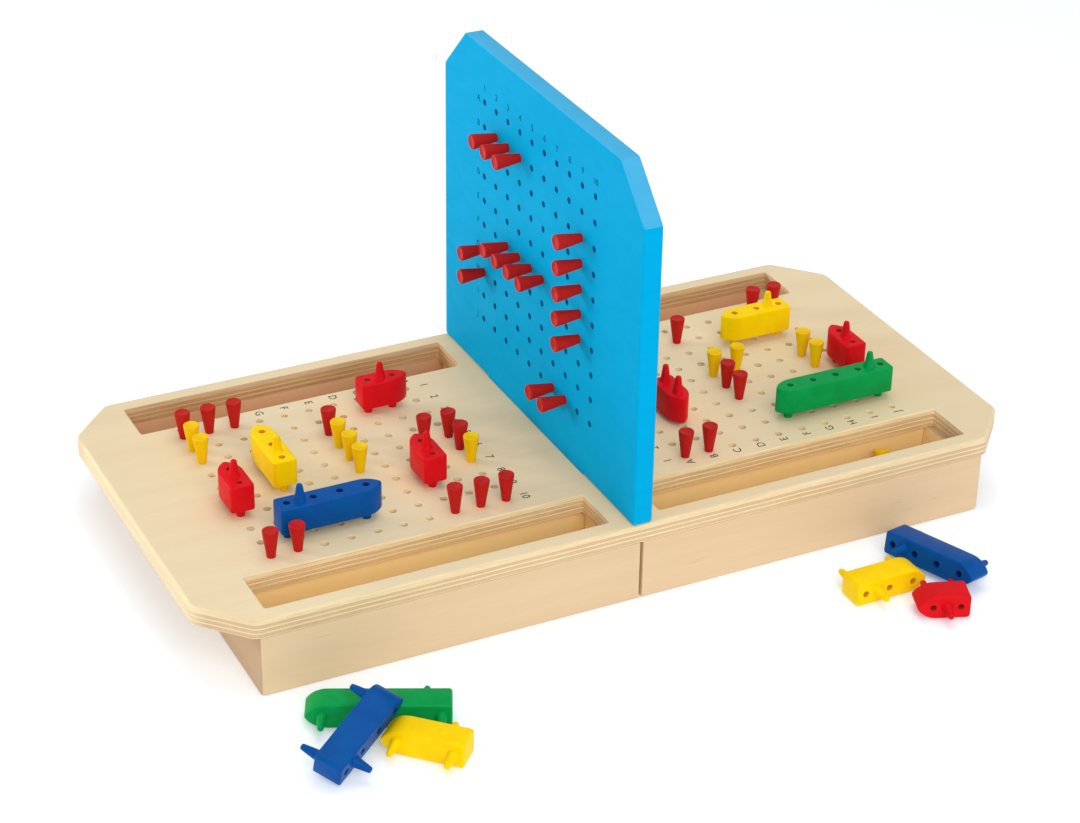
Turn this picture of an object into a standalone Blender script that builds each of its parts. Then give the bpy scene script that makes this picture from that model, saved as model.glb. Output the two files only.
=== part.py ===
"""Fleet guessing case for two players, modelled as separate pieces.

A flat plywood case holds a 10 x 10 grid of holes at each end and four open trays. An upright board with
a third grid plugs into its middle and hides one player's fleet from the other. Ships stand on two pins
each, and tapered pegs mark the hits and misses. Six spare ships lie on the table around the case.

Metres, +Z up. The origin is the centre of the case's underside. +X runs along the case and +Y to its back.
"""

import math

import bmesh
import bpy
from mathutils import Euler, Matrix, Vector

# Driving dimensions of the grids.
PITCH = 0.015
GRID_COUNT = 10
GRID_HALF = PITCH * (GRID_COUNT - 1) / 2
HOLE_INNER_RADIUS = 0.00256
HEXAGON_SIDES = 6
HOLE_OUTER_RADIUS = HOLE_INNER_RADIUS / math.cos(math.pi / HEXAGON_SIDES)

# The case: a base panel, walls on it, and the top board over them.
GAP = 0.0003
CASE_HALF_LENGTH = 0.217
CASE_HALF_WIDTH = 0.121
BASE_THICKNESS = 0.003
BOARD_TOP = 0.046
BOARD_THICKNESS = 0.011
BOARD_HALF_LENGTH = 0.244
BOARD_CHAMFER_X = 0.025
BOARD_CHAMFER_Y = 0.027
BOARD_CORNER_RADIUS = 0.008
BOARD_BOTTOM = BOARD_TOP - BOARD_THICKNESS
FIRST_COLUMN_X = 0.055
SIDE_WALL_THICKNESS = 0.0095
END_WALL_THICKNESS = 0.010
CENTRE_SLIT = 0.002
CENTRE_WALL_THICKNESS = 0.011
RAIL_INNER_Y = 0.071
RAIL_OUTER_Y = 0.0775

# The four tray slots in the top board.
SLOT_INNER_X = 0.015
SLOT_OUTER_X = 0.2105
SLOT_INNER_Y = 0.0805
SLOT_OUTER_Y = 0.1115
SLOT_CORNER_RADIUS = 0.0015

# The upright divider and the tongue that plugs into the top board.
DIVIDER_TOP = 0.248
DIVIDER_THICKNESS = 0.011
DIVIDER_CHAMFER = 0.0275
DIVIDER_FOOT_RADIUS = 0.003
DIVIDER_LOWEST_HOLE_Z = 0.081
TONGUE_HALF_WIDTH = 0.061
TONGUE_THICKNESS = 0.0104

# Ships, along local +X from the pin at the stern. Their underside is at local Z = 0.
HULL_HALF_WIDTH = 0.0068
HULL_HEIGHT = 0.01575
STERN_OVERHANG = 0.0054
BOW_OVERHANG = 0.009
BOW_LENGTH = 0.0116
STERN_RADIUS = 0.002
PIN_LENGTH = 0.0103
MAST_LENGTH = 0.0096
PIN_ROOT_RADIUS = 0.0026
PIN_TIP_RADIUS = 0.0016
PIN_SIDES = 8
PIN_SUNK = 0.002
MAST_X = PITCH / 2
DECK_HOLE_DEPTH = 0.009
SHIP_CLEARANCE = 0.0047

# Pegs, turned about local Z with the board's surface at local Z = 0.
PEG_HEAD_Z = 0.0164
PEG_RIM_Z = 0.0150
PEG_TIP_Z = -0.006
PEG_HEAD_RADIUS = 0.0044
PEG_NECK_RADIUS = 0.0021
PEG_TIP_RADIUS = 0.0018
PEG_SIDES = 8

MERGE_DISTANCE = 0.00001
CUT_MARGIN = 0.004
ARC_STEPS = 3

# Fleet colours, by the number of cells that a ship covers.
SHIP_COLOURS = {
    2: ("red_ship_plastic", (0.62, 0.012, 0.020)),
    3: ("yellow_ship_plastic", (0.93, 0.62, 0.003)),
    4: ("blue_ship_plastic", (0.003, 0.090, 0.360)),
    5: ("green_ship_plastic", (0.003, 0.310, 0.058)),
}

# Ships standing in the boards: name, cells, board side, stern column and row, heading in degrees.
# Column 0 is next to the divider, and row 0 is on the player's left.
STANDING_SHIPS = [
    ("left_red_ship_a", 2, -1, 2, 1, 0),
    ("left_red_ship_b", 2, -1, 2, 7, 90),
    ("left_red_ship_c", 2, -1, 9, 6, 90),
    ("left_yellow_ship", 3, -1, 7, 5, 90),
    ("left_blue_ship", 4, -1, 8, 8, 0),
    ("right_yellow_ship", 3, 1, 8, 7, 180),
    ("right_green_ship", 5, 1, 9, 1, 180),
    ("right_red_ship", 2, 1, 9, 3, 90),
]

# The one ship that is plugged in upside down by its mast: cells, board side, mast column and row.
CAPSIZED_SHIP = ("right_red_ship_capsized", 2, 1, 1, 3, -90)
CAPSIZED_CLEARANCE = 0.0025

# Spare ships lying on their sides on the table: name, cells, stern X and Y, heading in degrees, and
# the side that is up.
LYING_SHIPS = [
    ("spare_green_ship", 5, -0.1455, -0.1839, 155.3, 1),
    ("spare_yellow_ship_front", 3, -0.1534, -0.2154, 135.7, 1),
    ("spare_yellow_ship_right", 3, 0.1065, -0.1630, 0.8, 1),
    ("spare_red_ship_right", 2, 0.1517, -0.1959, 159.7, -1),
]

# The spare ships that lean, one across the green ship and one with its mast on a yellow ship's pin:
# name, cells, stern position, and roll, pitch and heading in degrees.
LEANING_SHIPS = [
    ("spare_blue_ship_front", 4, (-0.2156, -0.1950, 0.0124), (105.1, -10.8, 34.5)),
    ("spare_blue_ship_right", 4, (0.1591, -0.1403, 0.0069), (81.6, -1.8, -70.5)),
]

# Cells with a peg: (column, row) on the left board and on the right board.
LEFT_RED_PEGS = [(9, 0), (8, 0), (7, 0), (4, 2), (1, 4), (0, 4), (0, 5), (2, 9), (1, 9), (0, 9), (8, 9), (9, 9)]
LEFT_YELLOW_PEGS = [(4, 3), (4, 4), (4, 5), (0, 6), (9, 1), (9, 2)]
RIGHT_RED_PEGS = [(0, 0), (1, 0), (4, 8), (4, 4), (4, 3), (8, 9), (9, 9)]
RIGHT_YELLOW_PEGS = [(4, 5), (5, 5), (8, 5), (8, 4)]

for old_object in list(bpy.data.objects):
    bpy.data.objects.remove(old_object, do_unlink=True)

parts = bpy.data.collections.new("fleet_guessing_case")
cutters = bpy.data.collections.new("cutters")
bpy.context.scene.collection.children.link(parts)
bpy.context.scene.collection.children.link(cutters)


def make_material(name, colour, roughness):
    """One non-metallic Principled material."""
    material = bpy.data.materials.new(name)
    material.use_nodes = True
    shader = material.node_tree.nodes["Principled BSDF"]
    shader.inputs["Base Color"].default_value = (*colour, 1.0)
    shader.inputs["Roughness"].default_value = roughness
    shader.inputs["Metallic"].default_value = 0.0
    return material


def arc(centre, radius, start_angle, end_angle, steps=ARC_STEPS):
    """Points along a circular arc, both ends included. Angles are in degrees."""
    points = []
    for step in range(steps + 1):
        angle = math.radians(start_angle + (end_angle - start_angle) * step / steps)
        points.append((centre[0] + radius * math.cos(angle), centre[1] + radius * math.sin(angle)))
    return points


def rounded_outline(corners, radius):
    """A convex outline, given anticlockwise, with every corner turned into an arc."""
    points = []
    for index, corner in enumerate(corners):
        here = Vector(corner)
        towards_last = (Vector(corners[index - 1]) - here).normalized()
        towards_next = (Vector(corners[(index + 1) % len(corners)]) - here).normalized()
        half_angle = towards_last.angle(towards_next) / 2
        bisector = (towards_last + towards_next).normalized()
        centre = here + bisector * (radius / math.sin(half_angle))
        tangent_start = here + towards_last * (radius / math.tan(half_angle))
        tangent_end = here + towards_next * (radius / math.tan(half_angle))
        start = math.degrees(math.atan2(*(tangent_start - centre).yx))
        end = math.degrees(math.atan2(*(tangent_end - centre).yx))
        if end < start:
            end += 360
        points += arc(centre, radius, start, end)
    return points


def add_object(name, mesh, collection, material=None):
    """A mesh object in one of the two collections."""
    new_object = bpy.data.objects.new(name, mesh)
    collection.objects.link(new_object)
    if material is not None and not mesh.materials:
        mesh.materials.append(material)
    if collection is cutters:
        new_object.hide_render = True
        new_object.display_type = "WIRE"
    return new_object


def evaluated_mesh(source, name):
    """The mesh of an object with its modifiers applied, or of a curve, with loose caps welded."""
    bpy.context.view_layer.update()
    depsgraph = bpy.context.evaluated_depsgraph_get()
    mesh = bpy.data.meshes.new_from_object(source.evaluated_get(depsgraph), depsgraph=depsgraph)
    mesh.name = name
    work = bmesh.new()
    work.from_mesh(mesh)
    bmesh.ops.remove_doubles(work, verts=work.verts, dist=MERGE_DISTANCE)
    bmesh.ops.recalc_face_normals(work, faces=work.faces)
    bmesh.ops.beautify_fill(work, faces=work.faces, edges=work.edges, method="AREA")
    work.to_mesh(mesh)
    work.free()
    return mesh


def extruded_mesh(name, outlines, thickness):
    """A plate in the local XY plane, centred on it. Outlines inside the first one become openings."""
    curve = bpy.data.curves.new(name, "CURVE")
    curve.dimensions = "2D"
    curve.fill_mode = "BOTH"
    curve.extrude = thickness / 2
    for outline in outlines:
        spline = curve.splines.new("POLY")
        spline.points.add(len(outline) - 1)
        for point, (x, y) in zip(spline.points, outline):
            point.co = (x, y, 0.0, 1.0)
        spline.use_cyclic_u = True
    plate = bpy.data.objects.new(name, curve)
    parts.objects.link(plate)
    mesh = evaluated_mesh(plate, name)
    bpy.data.objects.remove(plate)
    bpy.data.curves.remove(curve)
    return mesh


def add_box(name, low, high, collection, material=None):
    """An axis-aligned block between two corners, with its origin at its centre."""
    low_corner = Vector(low)
    high_corner = Vector(high)
    size = high_corner - low_corner
    work = bmesh.new()
    bmesh.ops.create_cube(work, size=1.0, matrix=Matrix.Diagonal((*size, 1.0)))
    mesh = bpy.data.meshes.new(name)
    work.to_mesh(mesh)
    work.free()
    block = add_object(name, mesh, collection, material)
    block.location = (low_corner + high_corner) / 2
    return block


def add_boolean(target, tool, operation):
    """Cuts a cutter out of an object, or joins it on, with the exact solver."""
    boolean = target.modifiers.new(tool.name, "BOOLEAN")
    boolean.operation = operation
    boolean.solver = "EXACT"
    boolean.object = tool


def add_row(target, name, step, count):
    """Repeats an object's mesh along a line with an Array modifier."""
    row = target.modifiers.new(name, "ARRAY")
    row.count = count
    row.use_relative_offset = False
    row.use_constant_offset = True
    row.constant_offset_displace = step
    row.use_merge_vertices = False


def add_hole_grid(name, first_hole, axis_turn, depth, step_a, step_b):
    """A cutter with a 10 x 10 grid of hexagonal prisms, starting from one corner hole."""
    work = bmesh.new()
    bmesh.ops.create_cone(
        work,
        cap_ends=True,
        segments=HEXAGON_SIDES,
        radius1=HOLE_OUTER_RADIUS,
        radius2=HOLE_OUTER_RADIUS,
        depth=depth,
        matrix=axis_turn,
    )
    mesh = bpy.data.meshes.new(name)
    work.to_mesh(mesh)
    work.free()
    grid = add_object(name, mesh, cutters)
    grid.location = first_hole
    add_row(grid, "columns", step_a, GRID_COUNT)
    add_row(grid, "rows", step_b, GRID_COUNT)
    return grid


def board_hole(side, column, row):
    """Centre of a hole in the top board. Each player's grid is the other's turned half a turn."""
    x = side * (FIRST_COLUMN_X + column * PITCH)
    y = -side * (GRID_HALF - row * PITCH)
    return x, y


def slot_outline(side_x, side_y):
    """The rounded rectangle of one tray slot."""
    xs = sorted((side_x * SLOT_INNER_X, side_x * SLOT_OUTER_X))
    ys = sorted((side_y * SLOT_INNER_Y, side_y * SLOT_OUTER_Y))
    corners = [(xs[0], ys[0]), (xs[1], ys[0]), (xs[1], ys[1]), (xs[0], ys[1])]
    return rounded_outline(corners, SLOT_CORNER_RADIUS)


def mortise_outline():
    """The slot that takes the divider's tongue."""
    half_x = TONGUE_THICKNESS / 2 + GAP
    half_y = TONGUE_HALF_WIDTH + GAP
    return [(-half_x, -half_y), (half_x, -half_y), (half_x, half_y), (-half_x, half_y)]


def make_top_board(material):
    """The top board with its cut-off corners, tray slots, mortise and two grids of holes."""
    x_out = BOARD_HALF_LENGTH
    x_in = BOARD_HALF_LENGTH - BOARD_CHAMFER_X
    y_out = CASE_HALF_WIDTH
    y_in = CASE_HALF_WIDTH - BOARD_CHAMFER_Y
    corners = [(x_out, -y_in), (x_out, y_in), (x_in, y_out), (-x_in, y_out)]
    corners += [(-x_out, y_in), (-x_out, -y_in), (-x_in, -y_out), (x_in, -y_out)]
    outlines = [rounded_outline(corners, BOARD_CORNER_RADIUS)]
    outlines += [slot_outline(side_x, side_y) for side_x in (-1, 1) for side_y in (-1, 1)]
    outlines.append(mortise_outline())
    mesh = extruded_mesh("top_board", outlines, BOARD_THICKNESS)
    board = add_object("top_board", mesh, parts, material)
    board.location = (0.0, 0.0, BOARD_TOP - BOARD_THICKNESS / 2)
    for side, label in ((-1, "left"), (1, "right")):
        corner_x, corner_y = board_hole(side, 0, 0)
        grid = add_hole_grid(
            f"{label}_grid_cutter",
            (corner_x, corner_y, board.location.z),
            Matrix.Identity(4),
            BOARD_THICKNESS + CUT_MARGIN,
            (side * PITCH, 0.0, 0.0),
            (0.0, side * PITCH, 0.0),
        )
        add_boolean(board, grid, "DIFFERENCE")


def make_case(wood, panel_wood):
    """The outer walls, the base panel set in between them, the centre walls and the rails along the trays."""
    high_z = BOARD_BOTTOM - GAP
    wall_inner_y = CASE_HALF_WIDTH - SIDE_WALL_THICKNESS
    end_inner_x = CASE_HALF_LENGTH - END_WALL_THICKNESS
    centre_inner_x = CENTRE_SLIT / 2
    centre_outer_x = centre_inner_x + CENTRE_WALL_THICKNESS
    base_x = end_inner_x - GAP
    base_y = wall_inner_y - GAP
    add_box("base_panel", (-base_x, -base_y, 0.0), (base_x, base_y, BASE_THICKNESS), parts, panel_wood)

    def add_wall(name, x_range, y_range, low_z=0.0):
        """A wall between two X and two Y values, up to the top board."""
        low_x, high_x = sorted(x_range)
        low_y, high_y = sorted(y_range)
        add_box(name, (low_x, low_y, low_z), (high_x, high_y, high_z), parts, wood)

    for side, label in ((-1, "left"), (1, "right")):
        inner_y = wall_inner_y - GAP
        on_base = BASE_THICKNESS + GAP
        centre_x = (side * centre_inner_x, side * centre_outer_x)
        add_wall(f"end_wall_{label}", (side * end_inner_x, side * CASE_HALF_LENGTH), (-inner_y, inner_y))
        add_wall(f"centre_wall_{label}", centre_x, (-inner_y, inner_y), on_base)
        wall_x = (side * centre_inner_x, side * CASE_HALF_LENGTH)
        rail_x = (side * (centre_outer_x + GAP), side * (end_inner_x - GAP))
        for front, place in ((-1, "front"), (1, "back")):
            rail_y = (front * RAIL_INNER_Y, front * RAIL_OUTER_Y)
            add_wall(f"{place}_wall_{label}", wall_x, (front * wall_inner_y, front * CASE_HALF_WIDTH))
            add_wall(f"tray_rail_{place}_{label}", rail_x, rail_y, on_base)


def make_divider(material):
    """The upright board with its tongue. The outline is drawn in Y and Z from the board's lower edge."""
    low_z = BOARD_TOP + GAP
    top = DIVIDER_TOP - low_z
    half = CASE_HALF_WIDTH
    radius = DIVIDER_FOOT_RADIUS
    outline = arc((half - radius, radius), radius, -90, 0)
    outline += [(half, top - DIVIDER_CHAMFER), (half - DIVIDER_CHAMFER, top)]
    outline += [(DIVIDER_CHAMFER - half, top), (-half, top - DIVIDER_CHAMFER)]
    outline += arc((radius - half, radius), radius, 180, 270)
    mesh = extruded_mesh("divider", [outline], DIVIDER_THICKNESS)
    divider = add_object("divider", mesh, parts, material)
    divider.location = (0.0, 0.0, low_z)
    divider.rotation_euler = (math.pi / 2, 0.0, math.pi / 2)
    tongue = add_box(
        "divider_tongue",
        (-TONGUE_THICKNESS / 2, -TONGUE_HALF_WIDTH, BOARD_BOTTOM + GAP),
        (TONGUE_THICKNESS / 2, TONGUE_HALF_WIDTH, low_z + CUT_MARGIN),
        cutters,
    )
    grid = add_hole_grid(
        "divider_grid_cutter",
        (0.0, -GRID_HALF, DIVIDER_LOWEST_HOLE_Z),
        Matrix.Rotation(math.pi / 2, 4, "Y"),
        DIVIDER_THICKNESS + CUT_MARGIN,
        (0.0, PITCH, 0.0),
        (0.0, 0.0, PITCH),
    )
    add_boolean(divider, tongue, "UNION")
    add_boolean(divider, grid, "DIFFERENCE")


def hull_outline(cells):
    """A ship from above: a square stern with soft corners, and a bow of two arcs that meet in a point."""
    half = HULL_HALF_WIDTH
    stern = -STERN_OVERHANG
    bow_start = (cells - 1) * PITCH + BOW_OVERHANG - BOW_LENGTH
    bow_radius = (BOW_LENGTH ** 2 + half ** 2) / (2 * half)
    bow_turn = math.degrees(math.asin(BOW_LENGTH / bow_radius))
    points = arc((stern + STERN_RADIUS, STERN_RADIUS - half), STERN_RADIUS, 180, 270, 2)
    points += arc((bow_start, bow_radius - half), bow_radius, -90, bow_turn - 90)
    points += arc((bow_start, half - bow_radius), bow_radius, 90 - bow_turn, 90)[1:]
    points += arc((stern + STERN_RADIUS, half - STERN_RADIUS), STERN_RADIUS, 90, 180, 2)
    return points


def add_pin(work, x, surface_z, direction, visible):
    """A tapered pin that starts inside the hull and points up (1) or down (-1) from its surface."""
    slope = (PIN_ROOT_RADIUS - PIN_TIP_RADIUS) / visible
    length = visible + PIN_SUNK
    middle = surface_z + direction * (visible - PIN_SUNK) / 2
    turn = Matrix.Identity(4) if direction > 0 else Matrix.Rotation(math.pi, 4, "X")
    bmesh.ops.create_cone(
        work,
        cap_ends=True,
        segments=PIN_SIDES,
        radius1=PIN_ROOT_RADIUS + slope * PIN_SUNK,
        radius2=PIN_TIP_RADIUS,
        depth=length,
        matrix=Matrix.Translation((x, 0.0, middle)) @ turn,
    )


def add_pins(name, cells):
    """The two pins under a ship and the mast on its deck, as one tool."""
    work = bmesh.new()
    add_pin(work, 0.0, 0.0, -1, PIN_LENGTH)
    add_pin(work, (cells - 1) * PITCH, 0.0, -1, PIN_LENGTH)
    add_pin(work, MAST_X, HULL_HEIGHT, 1, MAST_LENGTH)
    mesh = bpy.data.meshes.new(name)
    work.to_mesh(mesh)
    work.free()
    return add_object(name, mesh, cutters)


def add_deck_holes(name, cells):
    """The row of blind holes in a ship's deck, as one cutter."""
    work = bmesh.new()
    bmesh.ops.create_cone(
        work,
        cap_ends=True,
        segments=HEXAGON_SIDES,
        radius1=HOLE_OUTER_RADIUS,
        radius2=HOLE_OUTER_RADIUS,
        depth=DECK_HOLE_DEPTH * 2,
        matrix=Matrix.Translation((0.0, 0.0, HULL_HEIGHT)),
    )
    mesh = bpy.data.meshes.new(name)
    work.to_mesh(mesh)
    work.free()
    holes = add_object(name, mesh, cutters)
    add_row(holes, "cells", (PITCH, 0.0, 0.0), cells)
    return holes


def ship_mesh(cells):
    """One ship: the hull, less its deck holes, with the pins and the mast joined on."""
    name = f"ship_{cells}"
    hull = add_object(name, extruded_mesh(name, [hull_outline(cells)], HULL_HEIGHT), parts)
    hull.data.transform(Matrix.Translation((0.0, 0.0, HULL_HEIGHT / 2)))
    deck_holes = add_deck_holes(f"{name}_deck_holes", cells)
    pins = add_pins(f"{name}_pins", cells)
    add_boolean(hull, deck_holes, "DIFFERENCE")
    add_boolean(hull, pins, "UNION")
    mesh = evaluated_mesh(hull, name)
    for tool in (hull, deck_holes, pins):
        bpy.data.objects.remove(tool)
    mesh.shade_smooth()
    mesh.set_sharp_from_angle(angle=math.radians(30))
    mesh.materials.clear()
    mesh.materials.append(make_material(*SHIP_COLOURS[cells], 0.38))
    return mesh


def place_ships():
    """Every ship. Ships of one length share their mesh, and each one's origin is over its stern pin."""
    meshes = {cells: ship_mesh(cells) for cells in SHIP_COLOURS}
    for name, cells, side, column, row, heading in STANDING_SHIPS:
        ship = add_object(name, meshes[cells], parts)
        ship.location = (*board_hole(side, column, row), BOARD_TOP + SHIP_CLEARANCE)
        ship.rotation_euler = (0.0, 0.0, math.radians(heading))

    name, cells, side, column, row, heading = CAPSIZED_SHIP
    ship = add_object(name, meshes[cells], parts)
    turn = Euler((math.pi, 0.0, math.radians(heading)))
    mast = Vector((*board_hole(side, column, row), BOARD_TOP + CAPSIZED_CLEARANCE))
    ship.location = mast - turn.to_matrix() @ Vector((MAST_X, 0.0, HULL_HEIGHT))
    ship.rotation_euler = turn

    for name, cells, x, y, heading, side_up in LYING_SHIPS:
        ship = add_object(name, meshes[cells], parts)
        ship.location = (x, y, HULL_HALF_WIDTH)
        ship.rotation_euler = (side_up * math.pi / 2, 0.0, math.radians(heading))

    for name, cells, location, turns in LEANING_SHIPS:
        ship = add_object(name, meshes[cells], parts)
        ship.location = location
        ship.rotation_euler = [math.radians(turn) for turn in turns]


def peg_profile(name, material):
    """Half of a peg's outline, from the head's centre down its outer side to the tip's centre."""
    profile = [(0.0, PEG_HEAD_Z), (PEG_HEAD_RADIUS, PEG_HEAD_Z), (PEG_HEAD_RADIUS, PEG_RIM_Z)]
    profile += [(PEG_NECK_RADIUS, GAP), (PEG_TIP_RADIUS, PEG_TIP_Z), (0.0, PEG_TIP_Z)]
    mesh = bpy.data.meshes.new(name)
    edges = [(index, index + 1) for index in range(len(profile) - 1)]
    mesh.from_pydata([(radius, 0.0, z) for radius, z in profile], edges, [])
    mesh.materials.append(material)
    return mesh


def place_pegs(name, profile, side, cells):
    """One turned peg in each of the given holes, numbered from 1."""
    for number, (column, row) in enumerate(cells, start=1):
        peg = add_object(f"{name}_{number:02d}", profile, parts)
        peg.location = (*board_hole(side, column, row), BOARD_TOP)
        screw = peg.modifiers.new("turning", "SCREW")
        screw.steps = PEG_SIDES
        screw.render_steps = PEG_SIDES
        screw.use_merge_vertices = True
        screw.merge_threshold = MERGE_DISTANCE


board_wood = make_material("birch_board", (0.80, 0.62, 0.40), 0.55)
wall_wood = make_material("birch_wall", (0.56, 0.33, 0.14), 0.60)
panel_wood = make_material("base_plywood", (0.60, 0.38, 0.18), 0.65)
blue_paint = make_material("sky_blue_paint", (0.0, 0.35, 0.66), 0.45)
red_plastic = make_material("red_peg_plastic", (0.62, 0.012, 0.020), 0.38)
yellow_plastic = make_material("yellow_peg_plastic", (0.93, 0.62, 0.003), 0.38)

make_case(wall_wood, panel_wood)
make_top_board(board_wood)
make_divider(blue_paint)
place_ships()

red_profile = peg_profile("red_peg", red_plastic)
yellow_profile = peg_profile("yellow_peg", yellow_plastic)
place_pegs("left_red_peg", red_profile, -1, LEFT_RED_PEGS)
place_pegs("left_yellow_peg", yellow_profile, -1, LEFT_YELLOW_PEGS)
place_pegs("right_red_peg", red_profile, 1, RIGHT_RED_PEGS)
place_pegs("right_yellow_peg", yellow_profile, 1, RIGHT_YELLOW_PEGS)
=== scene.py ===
"""Looks of the fleet guessing case: plywood case, painted divider, ships, pegs and printed labels.

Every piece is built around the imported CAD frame, in metres, and rides on one of its bodies.
"""

import math
import random

import bmesh
import bpy
from mathutils import Euler, Matrix, Vector
from mathutils.geometry import delaunay_2d_cdt


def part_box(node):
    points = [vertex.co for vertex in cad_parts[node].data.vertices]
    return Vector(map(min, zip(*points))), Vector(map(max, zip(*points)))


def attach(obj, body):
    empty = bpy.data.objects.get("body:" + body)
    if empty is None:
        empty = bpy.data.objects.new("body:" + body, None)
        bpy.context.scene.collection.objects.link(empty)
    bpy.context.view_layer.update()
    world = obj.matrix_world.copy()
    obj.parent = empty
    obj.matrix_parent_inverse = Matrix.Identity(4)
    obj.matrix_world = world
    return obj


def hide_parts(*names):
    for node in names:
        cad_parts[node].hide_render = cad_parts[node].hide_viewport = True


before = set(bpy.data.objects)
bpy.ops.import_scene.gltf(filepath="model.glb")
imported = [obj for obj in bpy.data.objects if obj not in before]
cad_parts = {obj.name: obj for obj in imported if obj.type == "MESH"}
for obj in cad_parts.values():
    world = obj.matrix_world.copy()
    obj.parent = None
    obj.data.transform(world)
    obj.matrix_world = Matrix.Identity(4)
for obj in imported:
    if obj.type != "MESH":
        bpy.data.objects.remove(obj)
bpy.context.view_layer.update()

# Sizes read from the frame, in metres as everywhere below.
BOARD_LOW, BOARD_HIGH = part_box("top_board")
DIVIDER_LOW, DIVIDER_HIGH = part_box("divider")
BOARD_TOP = BOARD_HIGH.z
BOARD_BOTTOM = BOARD_LOW.z
PEG_LOW, PEG_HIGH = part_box("left_red_peg_01")
PEG_HEAD_RADIUS = (PEG_HIGH.x - PEG_LOW.x) / 2

# The hole grids.
PITCH = 0.015
GRID_COUNT = 10
GRID_HALF = PITCH * (GRID_COUNT - 1) / 2
HOLE_RADIUS = 0.00220
DIVIDER_HOLE_RADIUS = 0.00175
HOLE_EDGE = 0.00015
HOLE_SIDES = 24
FIRST_COLUMN_X = 0.055
DIVIDER_LOWEST_HOLE_Z = 0.081

# The top board's outline and slots.
BOARD_CHAMFER_X = 0.025
BOARD_CHAMFER_Y = 0.027
BOARD_CORNER_RADIUS = 0.008
BOARD_EDGE = 0.0014
BOARD_FOOT_EDGE = 0.0004
PLY_COUNT = 7
PLY_THICKNESS = 0.00137
PLY_DROP = 0.0004

# How the plies look. PLY_WANDER and GLUE_LINE are in plies, and the rest are places or lengths.
PLY_WANDER = 0.40
GLUE_LINE = (0.035, 0.115)
JOINT_SHADE = 0.0009
PAST_FRONT_EDGE = (-0.100, -0.085)
BACK_SLOT_START = (0.075, 0.085)
# Where the painted light at the board's ends begins and where it is full, measured in from each end.
PALE_END_PAINTED_LIGHT_INSETS = (0.006, 0.001)

# How far from the middle the board's painted light beside the divider (a lighter, warmer tint) begins to
# fade, and where it ends.
PAINTED_LIGHT_REACH = (0.02, 0.13)

SLOT_INNER_X = 0.015
SLOT_OUTER_X = 0.2105
SLOT_INNER_Y = 0.0805
SLOT_OUTER_Y = 0.1115
SLOT_CORNER_RADIUS = 0.0015
SLOT_EDGE = 0.0004
TONGUE_HALF_WIDTH = 0.061
TONGUE_HALF_THICKNESS = 0.0052
GAP = 0.0003
INK_LIFT = 0.00003
INK_THICKNESS = 0.00002
MERGE_DISTANCE = 0.000001

# The divider's outline.
DIVIDER_CHAMFER = 0.0275
DIVIDER_CORNER_RADIUS = 0.0038
DIVIDER_FOOT_RADIUS = 0.0015
DIVIDER_EDGE = 0.0009

# The walls. The front and back walls are mitred at their outer ends, and the end walls grow to meet them.
WALL_EDGE = 0.0001
WALL_MITRE = 0.0099
END_WALL_GROWTH = 0.0096
FOOT_RADIUS = 0.0022
FOOT_STEPS = 5

# How many steps round an edge, an outline's corner, and the cap of a pin or a peg.
EDGE_STEPS = 3
ARC_STEPS = 6
CAP_STEPS = 4

# Ships, along local +X from the stern pin, with the hull's underside at local Z = 0.
HULL_HALF_WIDTH = 0.0068
HULL_HEIGHT = 0.01575
HULL_EDGE = 0.0009
STERN_OVERHANG = 0.0054
STERN_RADIUS = 0.0018
BOW_OVERHANG = 0.009
BOW_LENGTH = 0.0116
BOW_TIP_RADIUS = 0.0012
BOW_NOSE_REACH = 0.35
BOW_NOSE_WIDTH = 0.55
SHIP_CLEARANCE = 0.0047
DECK_HOLE_RADIUS = 0.0017
DECK_HOLE_DEPTH = 0.009
DECK_HOLE_EDGE = 0.0003
PIN_LENGTH = 0.0103
MAST_LENGTH = 0.0096
PIN_ROOT_RADIUS = 0.0028
PIN_TIP_RADIUS = 0.0017
PIN_SUNK = 0.0015
PIN_CAP_SHARE = 0.6
PIN_ROOT_Z = 0.0009
MAST_FLARE = 1.05
PIN_SIDES = 28
MAST_X = PITCH / 2

# Where a pin swells into the hull: how much its radius grows, and how far out from the hull's face.
PIN_FILLET = [(0.0, PIN_ROOT_Z), (0.0002, 0.0003), (0.0006, -0.0002)]

# Pegs, turned about local Z with the board's surface at local Z = 0.
PEG_HEAD_Z = PEG_HIGH.z - BOARD_TOP
PEG_TIP_Z = PEG_LOW.z - BOARD_TOP
PEG_NECK_RADIUS = 0.0024
PEG_TIP_RADIUS = 0.0018
PEG_SIDES = 32
PEG_RIM = 0.0006
PEG_DISH_DEPTH = 0.00025
PEG_DISH_LIP = 0.00005
PEG_DISH_SHARES = (0.74, 0.80)
PEG_HEAD_HEIGHT = 0.0022
PEG_HEAD_TAPER = 0.97
PEG_TIP_CHAMFER = 0.0006
PEG_LEAN = math.radians(1.5)
DIVIDER_PEG_DEPTH = 0.0012
DIVIDER_PEG_SPIN = (-0.02, 0.02)
DIVIDER_PEG_DROOP = (-0.03, 0.02)

# Standing ships: node, cells, board side, stern column and row, heading in degrees.
STANDING_SHIPS = [
    ("left_red_ship_a", 2, -1, 2, 1, 0),
    ("left_red_ship_b", 2, -1, 2, 7, 90),
    ("left_red_ship_c", 2, -1, 9, 6, 90),
    ("left_yellow_ship", 3, -1, 7, 5, 90),
    ("left_blue_ship", 4, -1, 8, 8, 0),
    ("right_yellow_ship", 3, 1, 8, 7, 180),
    ("right_green_ship", 5, 1, 9, 1, 180),
    ("right_red_ship", 2, 1, 9, 3, 90),
]

# The ship plugged in upside down by its mast: node, cells, board side, mast column and row, heading.
CAPSIZED_SHIP = ("right_red_ship_capsized", 2, 1, 1, 3, -90)
CAPSIZED_CLEARANCE = 0.0025

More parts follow.
